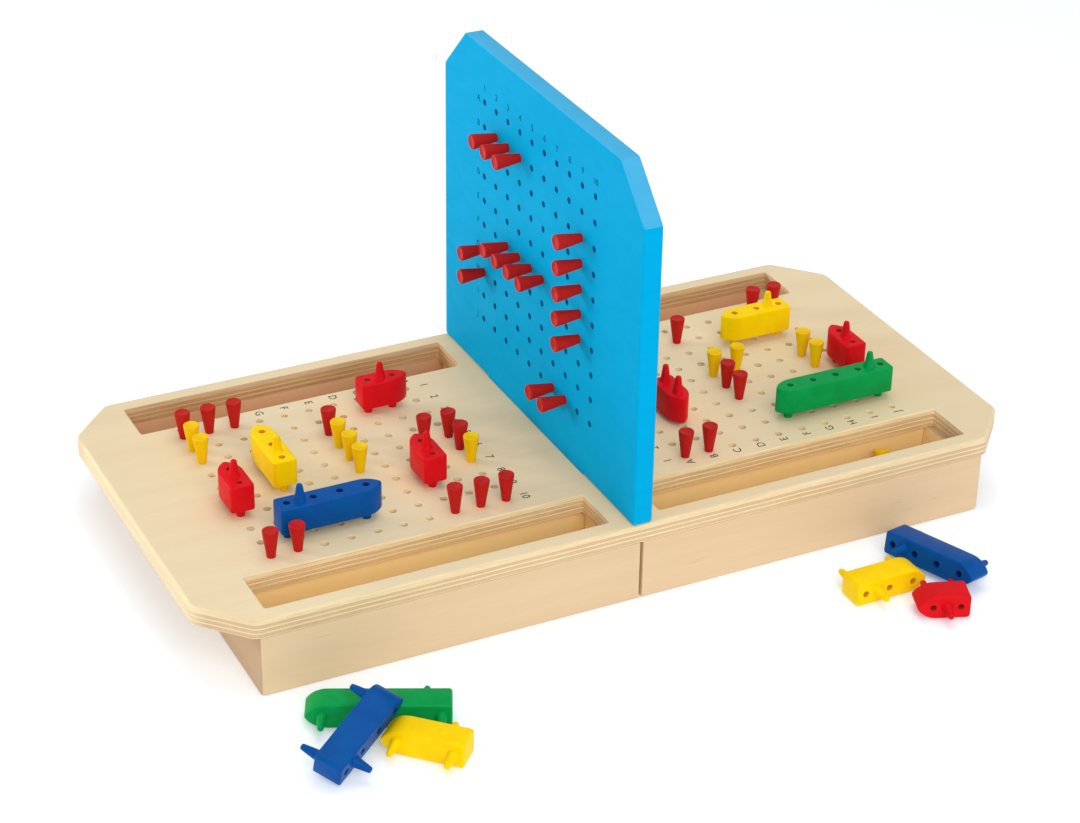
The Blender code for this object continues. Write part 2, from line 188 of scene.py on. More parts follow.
# Spare ships: node, cells, stern position, and roll, pitch and heading in degrees.
SPARE_SHIPS = [
    ("spare_green_ship", 5, (-0.1455, -0.1839, 0.0068), (90, 0, 155.3)),
    ("spare_yellow_ship_front", 3, (-0.1534, -0.2154, 0.0068), (90, 0, 135.7)),
    ("spare_yellow_ship_right", 3, (0.1065, -0.1630, 0.0068), (90, 0, 0.8)),
    ("spare_red_ship_right", 2, (0.1517, -0.1959, 0.0068), (-90, 0, 159.7)),
    ("spare_blue_ship_front", 4, (-0.2156, -0.1950, 0.0124), (105.1, -10.8, 34.5)),
    ("spare_blue_ship_right", 4, (0.1591, -0.1403, 0.0069), (81.6, -1.8, -70.5)),
]

# Pegs in the divider's left face: (column from the back, row from the top).
DIVIDER_PEGS = [(1, 1), (2, 1), (3, 1), (0, 6), (0, 7), (2, 5), (3, 5), (4, 5), (5, 5)]
DIVIDER_PEGS += [(8, 2), (8, 3), (8, 4), (8, 5), (8, 6), (6, 9), (7, 9)]

# Loose yellow pegs in the front right tray: where the tip and the middle of the head are.
LOOSE_PEGS = [
    ((0.1835, -0.0890, 0.0052), (0.1640, -0.0925, 0.0078)),
    ((0.1715, -0.0925, 0.0092), (0.1745, -0.0838, 0.0290)),
]

# The camera.
CAMERA_PLACE = (-0.58806, -1.17585, 0.79951)
CAMERA_FORWARD = (0.38797, 0.77814, -0.49394)
CAMERA_UP = (0.20581, 0.44924, 0.86938)
CAMERA_LENS = 89.17
CAMERA_SENSOR = 36.0

random.seed(7)


# ---------------------------------------------------------------- materials

def node(tree, kind, inputs=None, **attributes):
    """A shader node with its inputs set to values or linked to sockets."""
    made = tree.nodes.new(kind)
    for key, value in attributes.items():
        setattr(made, key, value)
    for key, value in (inputs or {}).items():
        if isinstance(value, bpy.types.NodeSocket):
            tree.links.new(value, made.inputs[key])
        else:
            made.inputs[key].default_value = value
    return made


def calculate(tree, operation, first, second=0.0):
    """The output of a Math node."""
    return node(tree, "ShaderNodeMath", {0: first, 1: second}, operation=operation).outputs[0]


def noise(tree, vector, scale, detail=3.0, roughness=0.5):
    """The value of a noise texture."""
    inputs = {"Vector": vector, "Scale": scale, "Detail": detail, "Roughness": roughness}
    return node(tree, "ShaderNodeTexNoise", inputs).outputs["Fac"]


def weighted(tree, *terms):
    """A sum of (value, weight) terms."""
    total = calculate(tree, "MULTIPLY", *terms[0])
    for value, weight in terms[1:]:
        total = calculate(tree, "ADD", total, calculate(tree, "MULTIPLY", value, weight))
    return total


def mix(tree, factor, first, second):
    """A blend of two colours."""
    inputs = {"Fac": factor, "Color1": first, "Color2": second}
    return node(tree, "ShaderNodeMixRGB", inputs).outputs["Color"]


def tinted(tree, factor, base, tint):
    """A colour multiplied by a tint as far as the factor says."""
    inputs = {"Fac": factor, "Color1": base, "Color2": tint}
    return node(tree, "ShaderNodeMixRGB", inputs, blend_type="MULTIPLY").outputs["Color"]


def remap(tree, value, from_low, from_high, to_low, to_high):
    """A value taken from one range to another, and held inside it."""
    inputs = {"Value": value, "From Min": from_low, "From Max": from_high}
    inputs.update({"To Min": to_low, "To Max": to_high})
    return node(tree, "ShaderNodeMapRange", inputs).outputs["Result"]


def new_material(name, roughness):
    """A material, its node tree and its Principled shader."""
    material = bpy.data.materials.new(name)
    material.use_nodes = True
    shader = material.node_tree.nodes["Principled BSDF"]
    shader.inputs["Roughness"].default_value = roughness
    return material, material.node_tree, shader


def set_base_colour(tree, shader, socket):
    """Links a colour to the shader."""
    tree.links.new(socket, shader.inputs["Base Color"])


def object_place(tree, scale=(1.0, 1.0, 1.0)):
    """Object coordinates in metres, stretched by a scale."""
    place = node(tree, "ShaderNodeTexCoord").outputs["Object"]
    return node(tree, "ShaderNodeMapping", {"Vector": place, "Scale": scale}).outputs["Vector"]


def add_bump(tree, shader, height, distance, strength):
    """A bump normal on the shader."""
    bump = node(tree, "ShaderNodeBump", {"Height": height, "Distance": distance, "Strength": strength})
    tree.links.new(bump.outputs["Normal"], shader.inputs["Normal"])


def colour(red, green, blue):
    """A linear colour with full alpha."""
    return (red, green, blue, 1.0)


def veneer(name, along, light, dark, roughness=0.5, painted_light=None):
    """A birch face veneer with its grain along X, Y or Z. The last argument tints what lies beside the
    divider lighter and warmer, as painted light.
    """
    material, tree, shader = new_material(name, roughness)
    stretch = [16.0, 16.0, 16.0]
    stretch["XYZ".index(along)] = 1.0
    grain_place = object_place(tree, stretch)
    fibre_place = object_place(tree, [value * 3.0 for value in stretch])
    bands = noise(tree, grain_place, 3.2, 3.0, 0.55)
    fibres = noise(tree, fibre_place, 16.0, 2.0, 0.6)
    clouds = noise(tree, object_place(tree), 7.0, 2.0)
    tone = weighted(tree, (bands, 0.62), (fibres, 0.22), (clouds, 0.2))
    face = mix(tree, remap(tree, tone, 0.34, 0.76, 0.0, 1.0), light, dark)
    flecks = noise(tree, object_place(tree, [value * 1.6 for value in stretch]), 26.0, 1.0)
    fleck_colour = colour(dark[0] * 0.72, dark[1] * 0.62, dark[2] * 0.5)
    face = mix(tree, remap(tree, flecks, 0.74, 0.82, 0.0, 0.3), face, fleck_colour)
    # Painted light: beside the divider the board is tinted lighter and warmer, fading out across the reach.
    if painted_light:
        across = node(tree, "ShaderNodeSeparateXYZ", {"Vector": object_place(tree)}).outputs[0]
        nearness = remap(tree, calculate(tree, "ABSOLUTE", across), *PAINTED_LIGHT_REACH, 1.0, 0.0)
        face = tinted(tree, nearness, face, painted_light)
    set_base_colour(tree, shader, face)
    shader.inputs["Specular IOR Level"].default_value = 0.2
    gloss = remap(tree, fibres, 0.3, 0.7, roughness - 0.06, roughness + 0.08)
    tree.links.new(gloss, shader.inputs["Roughness"])
    add_bump(tree, shader, fibres, 0.0001, 0.35)
    return material


def plies(name, count, light, dark, glue):
    """The board's sawn edge: plies of alternating grain with thin glue lines between them.

    The top ply is the thickest. Plies behind the front edge are painted lighter, and those from the back
    slots backwards painted darker: painted light and shade. Towards the board's ends the plies are painted
    paler and more even: painted light.
    """
    low = BOARD_BOTTOM - PLY_DROP
    material, tree, shader = new_material(name, 0.6)
    parts = node(tree, "ShaderNodeSeparateXYZ", {"Vector": object_place(tree)}).outputs
    height = parts[2]
    wander = noise(tree, object_place(tree), 38.0, 2.0)
    level = remap(tree, height, low, low + count * PLY_THICKNESS, 0.0, float(count))
    shift = calculate(tree, "MULTIPLY", calculate(tree, "SUBTRACT", wander, 0.5), PLY_WANDER)
    level = calculate(tree, "ADD", level, shift)
    level = calculate(tree, "MAXIMUM", calculate(tree, "MINIMUM", level, count - 0.01), 0.0)
    ply = calculate(tree, "FLOOR", level)
    odd = calculate(tree, "MODULO", calculate(tree, "ADD", ply, 10.0), 2.0)
    streaks = noise(tree, object_place(tree, (90.0, 90.0, 900.0)), 1.0, 3.0, 0.65)
    pores = noise(tree, object_place(tree), 900.0, 1.0)
    light_ply = mix(tree, remap(tree, streaks, 0.3, 0.7, 0.0, 0.45), light, dark)
    dark_ply = mix(tree, remap(tree, pores, 0.35, 0.75, 0.0, 0.22), dark, glue)
    edge = mix(tree, odd, light_ply, dark_ply)
    nearest = calculate(tree, "MAXIMUM", calculate(tree, "ROUND", level), 1.0)
    nearest = calculate(tree, "MINIMUM", nearest, count - 1.0)
    to_line = calculate(tree, "ABSOLUTE", calculate(tree, "SUBTRACT", level, nearest))
    patches = noise(tree, object_place(tree), 55.0, 2.0)
    strength = remap(tree, patches, 0.3, 0.7, 0.4, 1.0)
    line = calculate(tree, "MULTIPLY", remap(tree, to_line, *GLUE_LINE, 1.0, 0.0), strength)
    edge = mix(tree, line, edge, glue)
    edge = mix(tree, remap(tree, height, BOARD_BOTTOM, BOARD_BOTTOM + JOINT_SHADE, 0.75, 0.0), edge, dark)
    in_slot = remap(tree, parts[1], *PAST_FRONT_EDGE, 0.0, 1.0)
    long_streaks = noise(tree, object_place(tree, (24.0, 24.0, 1300.0)), 1.0, 3.0, 0.6)
    depth = calculate(tree, "ADD", calculate(tree, "MULTIPLY", in_slot, 0.55), 0.35)
    streaked = calculate(tree, "MULTIPLY", remap(tree, long_streaks, 0.48, 0.66, 0.0, 1.0), depth)
    edge = tinted(tree, streaked, edge, PLY_STREAK)
    # Painted light and shade: plies behind the front edge are tinted lighter, and those from the back slots
    # backwards tinted darker.
    edge = tinted(tree, in_slot, edge, SLOT_WALL_PAINTED_LIGHT)
    edge = tinted(tree, remap(tree, parts[1], *BACK_SLOT_START, 0.0, 1.0), edge, BACK_SLOT_PAINTED_SHADE)
    # Painted light: towards the board's ends the plies are painted paler and more even.
    end_start, end_full = (BOARD_HIGH.x - inset for inset in PALE_END_PAINTED_LIGHT_INSETS)
    pale_end_painted_light = remap(tree, calculate(tree, "ABSOLUTE", parts[0]), end_start, end_full, 0.0, 0.55)
    edge = mix(tree, pale_end_painted_light, edge, light)
    set_base_colour(tree, shader, edge)
    relief = calculate(tree, "SUBTRACT", streaks, calculate(tree, "MULTIPLY", line, 0.5))
    add_bump(tree, shader, relief, 0.0001, 0.5)
    return material


def paint(name, base, deep):
    """Satin paint over wood: faint brush and grain relief, and a little colour variation."""
    material, tree, shader = new_material(name, 0.4)
    shader.inputs["Specular IOR Level"].default_value = 0.012
    clouds = noise(tree, object_place(tree), 9.0, 3.0)
    mottle = noise(tree, object_place(tree, (1.0, 1.0, 3.0)), 60.0, 3.0, 0.6)
    tone = weighted(tree, (clouds, 0.6), (mottle, 0.4))
    set_base_colour(tree, shader, mix(tree, remap(tree, tone, 0.35, 0.65, 0.0, 1.0), base, deep))
    grain = noise(tree, object_place(tree, (1.0, 1.0, 0.08)), 700.0, 2.0, 0.6)
    peel = noise(tree, object_place(tree), 420.0, 2.0)
    relief = calculate(tree, "ADD", calculate(tree, "MULTIPLY", grain, 0.5), peel)
    tree.links.new(remap(tree, mottle, 0.3, 0.7, 0.36, 0.48), shader.inputs["Roughness"])
    add_bump(tree, shader, relief, 0.00012, 0.3)
    return material


def plastic(name, base, deep, roughness=0.36):
    """Satin moulded plastic: a fine eggshell surface and a faint swirl in the colour."""
    material, tree, shader = new_material(name, roughness)
    swirl = noise(tree, object_place(tree), 110.0, 3.0, 0.55)
    set_base_colour(tree, shader, mix(tree, remap(tree, swirl, 0.35, 0.68, 0.0, 1.0), base, deep))
    skin = noise(tree, object_place(tree), 1500.0, 2.0)
    gloss = remap(tree, skin, 0.3, 0.7, roughness - 0.05, roughness + 0.07)
    tree.links.new(gloss, shader.inputs["Roughness"])
    shader.inputs["Specular IOR Level"].default_value = 0.07
    add_bump(tree, shader, skin, 0.00006, 0.25)
    return material


def ink(name, full, worn):
    """Dark printing ink, slightly worn."""
    material, tree, shader = new_material(name, 0.6)
    wear = noise(tree, object_place(tree), 900.0, 2.0)
    set_base_colour(tree, shader, mix(tree, remap(tree, wear, 0.45, 0.75, 0.0, 0.5), full, worn))
    shader.inputs["Specular IOR Level"].default_value = 0.02
    return material


BIRCH_LIGHT = colour(0.83, 0.685, 0.445)
BIRCH_DARK = colour(0.76, 0.595, 0.365)
# Painted light: the lighter, warmer tint of the board beside the divider.
BIRCH_PAINTED_LIGHT = colour(1.17, 1.06, 0.99)
WALL_LIGHT = colour(0.78, 0.58, 0.36)
WALL_DARK = colour(0.71, 0.50, 0.29)
# Painted shade: the end walls are the wall birch painted darker.
END_WALL_PALE_PAINTED_SHADE = colour(0.55, 0.365, 0.212)
END_WALL_DEEP_PAINTED_SHADE = colour(0.50, 0.318, 0.177)
PLY_LIGHT = colour(0.86, 0.70, 0.43)
PLY_DARK = colour(0.73, 0.51, 0.275)
PLY_GLUE = colour(0.44, 0.24, 0.105)
PLY_STREAK = colour(0.76, 0.66, 0.54)
# Painted light for the plies behind the front edge, and painted shade for those at the back.
SLOT_WALL_PAINTED_LIGHT = colour(1.17, 1.20, 1.20)
BACK_SLOT_PAINTED_SHADE = colour(0.76, 0.66, 0.60)
# Painted light: the insides are birch painted brighter and warmer, for the light bounced about inside the
# trays.
INSIDE_PALE_PAINTED_LIGHT = colour(1.0, 0.775, 0.385)
INSIDE_DEEP_PAINTED_LIGHT = colour(0.975, 0.69, 0.325)
# Painted shade: the back walls' inner faces are the inside birch painted darker.
BACK_INSIDE_PALE_PAINTED_SHADE = colour(0.75, 0.45, 0.26)
BACK_INSIDE_DEEP_PAINTED_SHADE = colour(0.69, 0.395, 0.215)
PAINT_LIGHT = colour(0.0, 0.40, 0.725)
PAINT_DARK = colour(0.0, 0.358, 0.665)
# Painted light: the divider's upward-facing edges are painted a lighter blue.
PAINT_TOP_EDGE_PAINTED_LIGHT = colour(0.078, 0.425, 0.71)
PAINT_TOP_EDGE_PAINTED_LIGHT_DEEP = colour(0.056, 0.40, 0.685)
# Painted shade: the insides of the divider's holes are painted dark blue.
PAINT_HOLE_PAINTED_SHADE = colour(0.0, 0.18, 0.42)
PAINT_HOLE_PAINTED_SHADE_DEEP = colour(0.0, 0.13, 0.33)

board_face = veneer("board_veneer", "X", BIRCH_LIGHT, BIRCH_DARK, painted_light=BIRCH_PAINTED_LIGHT)
board_edge = plies("board_plies", PLY_COUNT, PLY_LIGHT, PLY_DARK, PLY_GLUE)
side_face = veneer("side_wall_veneer", "X", WALL_LIGHT, WALL_DARK)
end_face_painted_shade = veneer("end_wall_veneer_painted_shade", "Y", END_WALL_PALE_PAINTED_SHADE, END_WALL_DEEP_PAINTED_SHADE)
inside_long_painted_light = veneer("rail_veneer_painted_light", "X", INSIDE_PALE_PAINTED_LIGHT, INSIDE_DEEP_PAINTED_LIGHT, 0.6)
inside_back_painted_shade = veneer("back_wall_inside_veneer_painted_shade", "X", BACK_INSIDE_PALE_PAINTED_SHADE, BACK_INSIDE_DEEP_PAINTED_SHADE, 0.6)
inside_cross_painted_light = veneer("centre_wall_veneer_painted_light", "Y", INSIDE_PALE_PAINTED_LIGHT, INSIDE_DEEP_PAINTED_LIGHT, 0.6)
floor_face_painted_light = veneer("base_panel_veneer_painted_light", "X", INSIDE_PALE_PAINTED_LIGHT, INSIDE_DEEP_PAINTED_LIGHT, 0.6)
blue_paint = paint("sky_blue_satin_paint", PAINT_LIGHT, PAINT_DARK)
top_edge_paint_painted_light = paint("sky_blue_top_edge_painted_light", PAINT_TOP_EDGE_PAINTED_LIGHT, PAINT_TOP_EDGE_PAINTED_LIGHT_DEEP)
hole_paint_painted_shade = paint("sky_blue_hole_painted_shade", PAINT_HOLE_PAINTED_SHADE, PAINT_HOLE_PAINTED_SHADE_DEEP)
board_ink = ink("board_printing_ink", colour(0.014, 0.015, 0.021), colour(0.11, 0.10, 0.09))
divider_ink = ink("divider_printing_ink", colour(0.0, 0.02, 0.045), colour(0.0, 0.07, 0.13))
SHIP_PLASTICS = {
    "red": plastic("red_ship_plastic", colour(0.74, 0.006, 0.012), colour(0.66, 0.005, 0.010)),
    "yellow": plastic("yellow_ship_plastic", colour(1.0, 0.67, 0.0), colour(0.95, 0.61, 0.0)),
    "blue": plastic("blue_ship_plastic", colour(0.001, 0.085, 0.335), colour(0.001, 0.070, 0.295)),
    "green": plastic("green_ship_plastic", colour(0.001, 0.335, 0.075), colour(0.001, 0.29, 0.06)),
}
# Painted shade: darker plastic for the insides of the deck holes.
HOLE_PLASTICS_PAINTED_SHADE = {
    "red": plastic("red_hole_painted_shade", colour(0.55, 0.022, 0.015), colour(0.48, 0.017, 0.012), 0.6),
    "yellow": plastic("yellow_hole_painted_shade", colour(0.84, 0.43, 0.03), colour(0.76, 0.37, 0.02), 0.6),
    "blue": plastic("blue_hole_painted_shade", colour(0.001, 0.04, 0.17), colour(0.001, 0.032, 0.14), 0.6),
    "green": plastic("green_hole_painted_shade", colour(0.003, 0.25, 0.06), colour(0.002, 0.21, 0.05), 0.6),
}
PEG_PLASTICS = {
    "red": plastic("red_peg_plastic", colour(0.54, 0.016, 0.012), colour(0.48, 0.012, 0.009)),
    "yellow": plastic("yellow_peg_plastic", colour(0.91, 0.57, 0.001), colour(0.86, 0.51, 0.001)),
}


# ---------------------------------------------------------------- mesh tools

def arc(centre, radius, start_angle, end_angle, steps=ARC_STEPS):
    """Points along a circular arc, both ends included. Angles are in degrees."""
    points = []
    for step in range(steps + 1):
        angle = math.radians(start_angle + (end_angle - start_angle) * step / steps)
        points.append(Vector((centre[0] + radius * math.cos(angle), centre[1] + radius * math.sin(angle))))
    return points


def circle(centre, radius, sides):
    """A clockwise circle, so that what surrounds it lies on its left."""
    return arc(centre, radius, 0, -360, sides)[:-1]


def rounded_outline(corners, radii, steps=ARC_STEPS):
    """A convex anticlockwise outline with every corner turned into an arc. radii is one value or a list."""
    points = []
    for index, corner in enumerate(corners):
        here = Vector(corner)
        radius = radii[index] if isinstance(radii, list) else radii
        towards_last = (Vector(corners[index - 1]) - here).normalized()
        towards_next = (Vector(corners[(index + 1) % len(corners)]) - here).normalized()
        half_angle = towards_last.angle(towards_next) / 2
        centre = here + (towards_last + towards_next).normalized() * (radius / math.sin(half_angle))
        reach = radius / math.tan(half_angle)
        start = math.degrees(math.atan2(*(here + towards_last * reach - centre).yx))
        end = math.degrees(math.atan2(*(here + towards_next * reach - centre).yx))
        if end < start:
            end += 360
        points += arc(centre, radius, start, end, steps)
    return points


def moved_inwards(points, distance):
    """A closed loop shifted to its left by a distance, with mitred corners."""
    moved = []
    for index, here in enumerate(points):
        back = (here - points[index - 1]).normalized()
        forward = (points[(index + 1) % len(points)] - here).normalized()
        left = Vector((-back.y - forward.y, back.x + forward.x)).normalized()
        spread = max(0.3, left.dot(Vector((-back.y, back.x))))
        moved.append(here + left * (distance / spread))
    return moved


def through_rings(low, high, radius, foot_radius=None):
    """Insets and heights down a wall whose two edges are rounded, alike or each by its own radius."""
    foot_radius = radius if foot_radius is None else foot_radius
    curve = [math.pi / 2 * step / EDGE_STEPS for step in range(EDGE_STEPS + 1)]
    rings = [(radius * (1 - math.sin(angle)), high - radius * (1 - math.cos(angle))) for angle in curve]
    for angle in reversed(curve):
        rings.append((foot_radius * (1 - math.sin(angle)), low + foot_radius * (1 - math.cos(angle))))
    return rings


def blind_rings(high, depth, radius):
    """Insets and heights down a blind hole with a rounded mouth and a shallow cone at its foot."""
    return through_rings(high - 2 * depth, high, radius)[:EDGE_STEPS + 1] + [(0.0, high - depth)]


def add_walls(work, points, rings, material_index):
    """The strips between a stack of rings. Returns the first and the last ring."""
    layers = []
    for inset, z in rings:
        layers.append([work.verts.new((point.x, point.y, z)) for point in moved_inwards(points, inset)])
    for upper, lower in zip(layers, layers[1:]):
        for index in range(len(points)):
            after = (index + 1) % len(points)
            face = work.faces.new((lower[index], lower[after], upper[after], upper[index]))
            face.material_index = material_index
            face.smooth = True
    return layers[0], layers[-1]


def add_cap(work, rings, up):
    """A flat face that fills the first ring and leaves the others open."""
    corners = [corner for ring in rings for corner in ring]
    edges = []
    start = 0
    for ring in rings:
        edges += [(start + index, start + (index + 1) % len(ring)) for index in range(len(ring))]
        start += len(ring)
    flat = [corner.co.xy for corner in corners]
    owners = [number for number, ring in enumerate(rings) for _ in ring]
    _, _, triangles, origins, _, _ = delaunay_2d_cdt(flat, edges, [], 1, 1e-7, True)
    for triangle in triangles:
        numbers = [origins[index][0] for index in triangle]
        if owners[numbers[0]] and len({owners[number] for number in numbers}) == 1:
            continue
        picked = [corners[number] for number in numbers]
        normal = (picked[1].co - picked[0].co).cross(picked[2].co - picked[0].co)
        if (normal.z > 0) != up:
            picked.reverse()
        face = work.faces.new(picked)
        face.smooth = True
    for ring in rings:
        for index, corner in enumerate(ring):
            work.edges.get((corner, ring[(index + 1) % len(ring)])).smooth = False


def plate_mesh(name, low, high, outline, edge, holes=(), blind=(), foot_edge=None):
    """A plate between two heights. holes go through it and blind holes start from its top.

    Each hole is (points, edge radius). The flat faces take material slot 0, the edges slot 1 and
    the blind holes slot 2.
    """
    work = bmesh.new()
    tops = []
    bottoms = []
    for number, (points, radius) in enumerate([(outline, edge), *holes]):
        rings = through_rings(low, high, radius, None if number else foot_edge)
        top, bottom = add_walls(work, points, rings, 1)
        tops.append(top)
        bottoms.append(bottom)
    for points, radius, depth in blind:
        top, foot = add_walls(work, points, blind_rings(high, depth, radius), 2)
        tops.append(top)
        middle = sum((corner.co for corner in foot), Vector()) / len(foot)
        centre = work.verts.new(middle - Vector((0.0, 0.0, radius * 3)))
        for index, corner in enumerate(foot):
            work.faces.new((centre, foot[(index + 1) % len(foot)], corner)).material_index = 2
    add_cap(work, tops, True)
    add_cap(work, bottoms, False)
    mesh = bpy.data.meshes.new(name)
    work.to_mesh(mesh)
    work.free()
    return mesh


def turned(work, profile, centre, sides, upside_down=False):
    """A closed solid turned about a vertical line.

    The profile is (radius, z) points that start and end at radius 0.
    """
    flip = -1.0 if upside_down else 1.0
    rings = []
    for radius, z in profile:
        if radius == 0.0:
            rings.append([work.verts.new((centre[0], centre[1], centre[2] + flip * z))])
            continue
        ring = []
        for side in range(sides):
            angle = 2 * math.pi * side / sides
            x = centre[0] + radius * math.cos(angle)
            y = centre[1] + flip * radius * math.sin(angle)
            ring.append(work.verts.new((x, y, centre[2] + flip * z)))
        rings.append(ring)
    for upper, lower in zip(rings, rings[1:]):
        for side in range(sides):
            after = (side + 1) % sides
            if len(upper) == 1:
                face = work.faces.new((upper[0], lower[side], lower[after]))
            elif len(lower) == 1:
                face = work.faces.new((upper[side], lower[0], upper[after]))
            else:
                face = work.faces.new((upper[side], lower[side], lower[after], upper[after]))
            face.smooth = True


def add_piece(name, mesh, materials, body, slot, *nodes):
    """A shown piece that rides on a body and stands for CAD nodes."""
    piece = bpy.data.objects.new(name, mesh)
    bpy.context.scene.collection.objects.link(piece)
    if not mesh.materials:
        for material in materials:
            mesh.materials.append(material)
    return settle(piece, body, slot, *nodes)


def settle(piece, body, slot, *nodes):
    """Joins a placed piece to its body and the nodes it stands for; slot is not used."""
    bpy.context.view_layer.update()
    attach(piece, body)
    if nodes:
        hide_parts(*nodes)
    return piece


def board_hole(side, column, row):
    """Centre of a hole in the top board. Each player's grid is the other's turned half a turn."""
    return side * (FIRST_COLUMN_X + column * PITCH), -side * (GRID_HALF - row * PITCH)


# ---------------------------------------------------------------- the case

def rectangle(half_x, half_y):
    """The anticlockwise corners of a rectangle about the origin."""
    return [(-half_x, -half_y), (half_x, -half_y), (half_x, half_y), (-half_x, half_y)]


def slot_loop(side_x, side_y):
    """A tray slot as a clockwise loop."""
    xs = sorted((side_x * SLOT_INNER_X, side_x * SLOT_OUTER_X))
    ys = sorted((side_y * SLOT_INNER_Y, side_y * SLOT_OUTER_Y))
    corners = [(xs[0], ys[0]), (xs[1], ys[0]), (xs[1], ys[1]), (xs[0], ys[1])]
    return rounded_outline(corners, SLOT_CORNER_RADIUS)[::-1]


def make_top_board():
    """The top board, with round holes and rounded edges."""
    x_out = BOARD_HIGH.x
    x_in = x_out - BOARD_CHAMFER_X
    y_out = BOARD_HIGH.y
    y_in = y_out - BOARD_CHAMFER_Y
    corners = [(x_out, -y_in), (x_out, y_in), (x_in, y_out), (-x_in, y_out)]
    corners += [(-x_out, y_in), (-x_out, -y_in), (-x_in, -y_out), (x_in, -y_out)]
    outline = rounded_outline(corners, BOARD_CORNER_RADIUS)
    holes = [(slot_loop(side_x, side_y), SLOT_EDGE) for side_x in (-1, 1) for side_y in (-1, 1)]
    mortise = rectangle(TONGUE_HALF_THICKNESS + GAP, TONGUE_HALF_WIDTH + GAP)
    holes.append((rounded_outline(mortise, GAP, 2)[::-1], HOLE_EDGE))
    for side in (-1, 1):
        for column in range(GRID_COUNT):
            for row in range(GRID_COUNT):
                loop = circle(board_hole(side, column, row), HOLE_RADIUS, HOLE_SIDES)
                holes.append((loop, HOLE_EDGE))
    heights = (BOARD_BOTTOM, BOARD_TOP)
    mesh = plate_mesh("board_plate", *heights, outline, BOARD_EDGE, holes, foot_edge=BOARD_FOOT_EDGE)
    add_piece("board_plate", mesh, [board_face, board_edge], "case", "birch_board", "top_board")


def with_stops(points, axis, end):
    """A wall's outline with extra points close to its outer ends, at which its foot can be rounded."""
    turns = [math.pi / 2 * step / FOOT_STEPS for step in range(1, FOOT_STEPS + 1)]
    stops = [end - FOOT_RADIUS * (1 - math.cos(turn)) for turn in turns]
    dense = []
    for index, here in enumerate(points):
        after = points[(index + 1) % len(points)]
        run = after[axis] - here[axis]
        dense.append(here)
        if abs(run) > GAP:
            cuts = [(sign * stop - here[axis]) / run for stop in stops for sign in (-1, 1)]
            dense += [here.lerp(after, cut) for cut in sorted(cuts) if 0.001 < cut < 0.999]
    return dense


def round_foot(mesh, axis, middle_z):
    """Raises a wall's underside in a quarter circle towards its outer ends."""
    end = max(abs(vertex.co[axis]) for vertex in mesh.vertices)
    for vertex in mesh.vertices:
        inside = FOOT_RADIUS - (end - abs(vertex.co[axis]))
        if vertex.co.z < middle_z and inside > 0.0:
            vertex.co.z += FOOT_RADIUS - math.sqrt(FOOT_RADIUS ** 2 - inside ** 2)


def make_wall(node_name, outside, inside, slot="birch_wall", mitred=0.0, lengthened=0.0):
    """A wall that stands for a CAD wall.

    mitred cuts its outer end back on the inner side, at about 45 degrees. lengthened does the same for an
    end wall, whose outer side grows to meet the front and back walls.
    """
    low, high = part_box(node_name)
    middle = (low + high) / 2
    corners = [(low.x, low.y), (high.x, low.y), (high.x, high.y), (low.x, high.y)]
    corners = [Vector(corner) for corner in corners]
    for corner in corners:
        if abs(corner.x) > abs(middle.x) and abs(corner.y) < abs(middle.y):
            corner.x -= math.copysign(mitred, corner.x)
        if abs(corner.x) > abs(middle.x):
            corner.y += math.copysign(lengthened, corner.y)
    thin = 0 if high.x - low.x < high.y - low.y else 1
    outline = rounded_outline(corners, WALL_EDGE, 2)
    if mitred or lengthened:
        outline = with_stops(outline, 1 - thin, max(abs(point[1 - thin]) for point in outline))
    high_z = BOARD_BOTTOM - INK_LIFT if high.z > BOARD_BOTTOM - 2 * GAP else high.z
    mesh = plate_mesh(f"{node_name}_panel", low.z, high_z, outline, WALL_EDGE)
    if mitred or lengthened:
        round_foot(mesh, 1 - thin, middle.z)
    for face in mesh.polygons:
        face.material_index = 1 if face.normal[thin] * middle[thin] < -0.8 * abs(middle[thin]) else 0
    add_piece(f"{node_name}_panel", mesh, [outside, inside], "case", slot, node_name)


def make_case():
    """The walls, rails and base panel under the top board."""
    # Painted light: the base panel, rails, centre walls and the front and end walls' inner faces take the
    # brighter, warmer inside birch.
    make_wall("base_panel", floor_face_painted_light, floor_face_painted_light, "base_plywood")
    for side in ("left", "right"):
        for place in ("front", "back"):
            # Painted shade on the back walls' inner faces.
            inside = inside_long_painted_light if place == "front" else inside_back_painted_shade
            make_wall(f"{place}_wall_{side}", side_face, inside, mitred=WALL_MITRE)
            make_wall(f"tray_rail_{place}_{side}", inside_long_painted_light, inside_long_painted_light)
        # Painted shade: the end walls' outer faces take the darker birch.
        make_wall(f"end_wall_{side}", end_face_painted_shade, inside_cross_painted_light, lengthened=END_WALL_GROWTH)
        make_wall(f"centre_wall_{side}", inside_cross_painted_light, inside_cross_painted_light)


# ---------------------------------------------------------------- the divider

